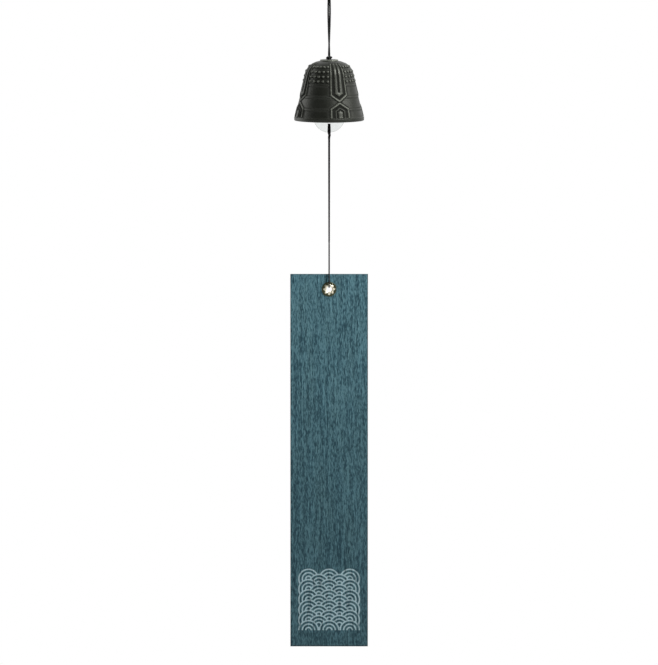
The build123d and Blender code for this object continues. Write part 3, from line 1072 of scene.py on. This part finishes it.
def grain(finish, tree, vector, mottle_scale, skin_scale):
    node = finish.node(
        "ShaderNodeGroup", {"node_tree": tree},
        Vector=vector, Mottle_Scale=mottle_scale, Skin_Scale=skin_scale,
    )
    return node.outputs["Mottle"], node.outputs["Skin"]


def own_place(finish):
    return finish.node("ShaderNodeTexCoord").outputs["Object"]


def lacquered_iron(grain_tree):
    """Cast iron under thin green-black lacquer, paler on the raised edges from rubbing and from painted
    highlight, and darker with painted shade and rougher in the hollows.
    """
    lacquer_dark, lacquer_pale = (0.0038, 0.0043, 0.0031, 1), (0.0150, 0.0166, 0.0125, 1)
    bare_iron_highlight, hollow_shade = (0.185, 0.196, 0.162, 1), (0.0022, 0.0024, 0.0018, 1)
    finish = Finish("lacquered_iron")
    mottle, skin = grain(finish, grain_tree, own_place(finish), mottle_scale=160.0, skin_scale=850.0)
    # painted shade in the hollows, which are also made rougher
    hollow = finish.marked("hollow")
    sandy = finish.plus(finish.times(mottle, 0.4), finish.times(skin, 0.6))
    # paler bare iron from rubbing and from painted highlight
    rubbed_and_lit = finish.times(finish.marked("wear"), finish.spread(skin, 0.45, 1.0))
    worn_and_lit = finish.mix(rubbed_and_lit, finish.mix(sandy, lacquer_dark, lacquer_pale), bare_iron_highlight)
    finish.set(
        Base_Color=finish.mix(hollow, worn_and_lit, hollow_shade),
        Roughness=finish.plus(finish.spread(mottle, 0.36, 0.50), finish.times(hollow, 0.6)),
        Specular_IOR_Level=0.48,
        Specular_Tint=(0.97, 1.0, 0.90, 1),
    )
    finish.bump(skin, distance=0.00010, strength=0.75)
    return finish.material


def twisted_cotton(name, dark, pale, grain_tree):
    """Fibres that run along the plies of a thread."""
    finish = Finish(name)
    lay = finish.node("ShaderNodeUVMap", {"uv_map": "lay"}).outputs["UV"]
    stretched = finish.node("ShaderNodeMapping", Vector=lay, Scale=(2.2, 26.0, 1.0)).outputs["Vector"]
    mottle, skin = grain(finish, grain_tree, stretched, mottle_scale=0.6, skin_scale=2.4)
    finish.set(
        Base_Color=finish.mix(skin, dark, pale),
        Roughness=finish.spread(mottle, 0.72, 0.92),
        Specular_IOR_Level=0.25,
        Sheen_Weight=0.06,
        Sheen_Roughness=0.5,
    )
    finish.bump(skin, distance=0.00006, strength=0.5)
    return finish.material


def clear_acrylic(grain_tree):
    """Clear polished plastic with faint rub marks."""
    finish = Finish("clear_acrylic")
    mottle, skin = grain(finish, grain_tree, own_place(finish), mottle_scale=240.0, skin_scale=2600.0)
    finish.set(
        Base_Color=finish.mix(mottle, (0.77, 0.80, 0.79, 1), (0.85, 0.87, 0.86, 1)),
        Roughness=finish.spread(finish.times(mottle, skin), 0.01, 0.10),
        Transmission_Weight=1.0,
        IOR=1.49,
    )
    return finish.material


def pressed_brass(name, dull, bright, low, high, grain_tree):
    """Thin pressed brass, a little duller in patches."""
    finish = Finish(name)
    mottle, skin = grain(finish, grain_tree, own_place(finish), mottle_scale=420.0, skin_scale=5200.0)
    finish.set(
        Base_Color=finish.mix(mottle, dull, bright),
        Metallic=1.0,
        Roughness=finish.spread(skin, low, high),
    )
    finish.bump(skin, distance=0.00002, strength=0.4)
    return finish.material


def wave_scales(finish, place):
    """The ink of printed wave scales: rows of ringed half circles, each row behind the one below."""
    axes = finish.axes(place)
    across = finish.math("DIVIDE", axes["X"], scale_radius)
    height = finish.math("DIVIDE", finish.minus(axes["Z"], print_foot), scale_radius)
    lowest = finish.math("CEIL", finish.minus(finish.times(height, 2.0), 2.0))
    open_paper = finish.math("GREATER_THAN", height, 0.0)
    ink = 0.0
    for step in range(4):  # rows, half a radius apart, that can reach up to one place
        row = finish.plus(lowest, float(step))
        odd = finish.math("FLOORED_MODULO", row, 2.0)
        beside = finish.math("WRAP", finish.minus(across, odd), 1.0, -1.0)
        above = finish.minus(height, finish.times(row, 0.5))
        reach = finish.math("SQRT", finish.plus(finish.times(beside, beside), finish.times(above, above)))
        middle = finish.math("ABSOLUTE", finish.minus(across, beside))
        here = finish.math("LESS_THAN", reach, 1.0)
        for limit in (
            finish.math("LESS_THAN", middle, print_reach),
            finish.math("GREATER_THAN", row, -0.5),
            finish.math("LESS_THAN", row, print_rows - 0.5),
        ):
            here = finish.times(here, limit)
        ring = finish.math("GREATER_THAN", finish.math("FRACT", finish.times(reach, scale_rings)), ring_bare)
        ink = finish.plus(ink, finish.times(finish.times(here, open_paper), ring))
        open_paper = finish.times(open_paper, finish.minus(1.0, here))
    return ink


def crepe_paper(grain_tree):
    """Teal crepe paper with painted shade in its creases and towards its foot, darker at its edges, with pale
    printed scales.
    """
    cool_dark, cool_pale = (0.027, 0.088, 0.125, 1), (0.143, 0.322, 0.394, 1)
    warm_dark, warm_pale = (0.036, 0.094, 0.117, 1), (0.160, 0.320, 0.360, 1)
    pale_ink = (0.56, 0.76, 0.82, 1)
    foot_shade, edge_dark = (0.010, 0.020, 0.022, 1), (0.012, 0.024, 0.026, 1)
    foot_shade_share, edge_share = 0.32, 0.6
    crease_shade_gain, fibre_gain, tone_floor, tone_curve = 1.1, 4.0, 1.99, 1.3
    ink_gain, ink_floor = 1.6, 0.55  # the raised paper takes most of the ink
    ink_front, ink_back, side = 0.92, 0.2, 0.2  # it shows less on the back
    finish = Finish("crepe_paper")
    crease, edge = finish.marked("crease"), finish.marked("edge")
    place = own_place(finish)
    stretched = finish.node("ShaderNodeMapping", Vector=place, Scale=(1.0, 1.0, 0.23)).outputs["Vector"]
    mottle, fibre = grain(finish, grain_tree, stretched, mottle_scale=90.0, skin_scale=1500.0)
    # painted shade in the creases, on top of the fibres' random variation
    tone_and_crease_shade = finish.plus(finish.times(crease, crease_shade_gain), finish.times(fibre, fibre_gain))
    tone_and_crease_shade = finish.math("POWER", finish.minus(tone_and_crease_shade, tone_floor, clamp=True), tone_curve)
    cool, warm = finish.mix(tone_and_crease_shade, cool_dark, cool_pale), finish.mix(tone_and_crease_shade, warm_dark, warm_pale)
    # painted shade: darker towards the strip's foot
    foot_shade_mask = finish.spread(finish.axes(place)["Z"], 0.0, foot_shade_share, strip_high.z, strip_low.z)
    shaded_to_foot = finish.mix(foot_shade_mask, finish.mix(mottle, cool, warm), foot_shade)
    raised = finish.minus(finish.times(finish.plus(crease, fibre), ink_gain), ink_floor, clamp=True)
    to_back = finish.axes(finish.node("ShaderNodeTexCoord").outputs["Normal"])["Y"]
    shows = finish.spread(to_back, ink_front, ink_back, -side, side)
    ink = finish.times(finish.times(wave_scales(finish, place), raised), shows)
    printed = finish.mix(ink, shaded_to_foot, pale_ink)
    finish.set(
        Base_Color=finish.mix(finish.times(edge, edge_share), printed, edge_dark),
        Roughness=finish.spread(fibre, 0.80, 0.95),
        Specular_IOR_Level=0.2,
        Sheen_Weight=0.05,
    )
    finish.bump(fibre, distance=0.00012, strength=0.5)
    return finish.material


# Stage

def seen_directly(tree, *more):
    """1 for rays from the camera, from clear pieces and of the kinds in more, else 0."""
    path = add_node(tree, "ShaderNodeLightPath").outputs
    seen = path["Is Camera Ray"]
    for kind in ("Is Transmission Ray", *more):
        seen = add_math(tree, "MAXIMUM", seen, path[kind])
    return seen


def white_studio():
    """White all round for the camera; for the light, white behind the bell and dim in front of it."""
    scene = bpy.context.scene
    scene.view_settings.view_transform = "Standard"
    scene.world = bpy.data.worlds.new("studio")
    scene.world.use_nodes = True
    tree = scene.world.node_tree
    direction = add_node(tree, "ShaderNodeTexCoord").outputs["Generated"]
    depth = add_node(tree, "ShaderNodeSeparateXYZ", Vector=direction).outputs["Y"]
    light = add_node(tree, "ShaderNodeMapRange", Value=depth, From_Min=-0.1, From_Max=0.7, To_Min=room_light)
    strength = add_math(tree, "MAXIMUM", light.outputs["Result"], seen_directly(tree))
    background = tree.nodes["Background"].inputs
    feed(tree, background["Color"], (1, 1, 1, 1))
    feed(tree, background["Strength"], strength)


def pale_floor():
    """A floor that keeps the part's shadow near it, is white further off and can't be seen from below."""
    corners = [(-1, -1), (1, -1), (1, 1), (-1, 1)]
    points = [(x * floor_half, y * floor_half, floor_z) for x, y in corners]
    finish = Finish("pale_floor")
    finish.set(Base_Color=(0.35, 0.35, 0.35, 1), Roughness=0.9)
    away = finish.node("ShaderNodeVectorMath", {"operation": "LENGTH"}, Vector=own_place(finish))
    far = finish.spread(away.outputs["Value"], 0.7, 1.0, floor_near, floor_far)
    top = finish.shader.outputs["BSDF"]
    for share, second in (
        (
            finish.times(seen_directly(finish.tree, "Is Glossy Ray"), far),
            finish.node("ShaderNodeEmission", Color=(1, 1, 1, 1)).outputs["Emission"],
        ),
        (
            finish.node("ShaderNodeNewGeometry").outputs["Backfacing"],
            finish.node("ShaderNodeBsdfTransparent").outputs["BSDF"],
        ),
    ):
        blended = finish.node("ShaderNodeMixShader", Fac=share)
        feed(finish.tree, blended.inputs[1], top)
        feed(finish.tree, blended.inputs[2], second)
        top = blended.outputs["Shader"]
    feed(finish.tree, finish.tree.nodes["Material Output"].inputs["Surface"], top)
    new_object("floor", plain_mesh("floor", points, [(0, 1, 2, 3)]), finish.material)


def lamp(name, place, target, wide, high, power):
    data = bpy.data.lights.new(name, "AREA")
    data.shape = "RECTANGLE"
    data.size, data.size_y = wide, high
    data.energy = power
    light = add_object(name, data)
    light.location = place
    light.rotation_euler = (Vector(target) - Vector(place)).to_track_quat("-Z", "Y").to_euler()


def camera():
    data = bpy.data.cameras.new("camera")
    data.lens = camera_lens
    distance = photo_high * pixel * camera_lens / data.sensor_width
    back = Vector((0, -math.cos(camera_rise), math.sin(camera_rise)))
    eye = add_object("camera", data)
    eye.location = aim + back * distance
    eye.rotation_euler = (-back).to_track_quat("-Z", "Y").to_euler()
    data.clip_end = 3 * distance
    bpy.context.scene.camera = eye


camera()
white_studio()
pale_floor()
for softbox in softboxes:
    lamp(*softbox)

grain_tree = grain_group()
black_cotton = twisted_cotton(
    "black_cotton", (0.0020, 0.0022, 0.0021, 1), (0.0080, 0.0086, 0.0083, 1), grain_tree
)
plum_thread = twisted_cotton("plum_thread", (0.0060, 0.0048, 0.0054, 1), (0.026, 0.020, 0.023, 1), grain_tree)
iron = lacquered_iron(grain_tree)
brass = pressed_brass("pale_brass", (0.88, 0.82, 0.62, 1), (0.96, 0.92, 0.76, 1), 0.34, 0.52, grain_tree)
# a shaded copy of the brass: the washer's dark reflection of the dim room is painted into its colour
shaded_brass = pressed_brass(
    "shaded_brass", (0.050, 0.060, 0.034, 1), (0.110, 0.120, 0.070, 1), 0.35, 0.55, grain_tree
)

cord, cord_path = hanging_cord(black_cotton)
knots = cord_knots(black_cotton)
clapper_thread, hitch, strands, loop = lower_threads(plum_thread)
knot_behind = closing_knot(plum_thread)
bell(iron)
bell_studs(iron)
clapper(clear_acrylic(grain_tree))
eyelet(brass, shaded_brass)
strip = paper_strip(crepe_paper(grain_tree))
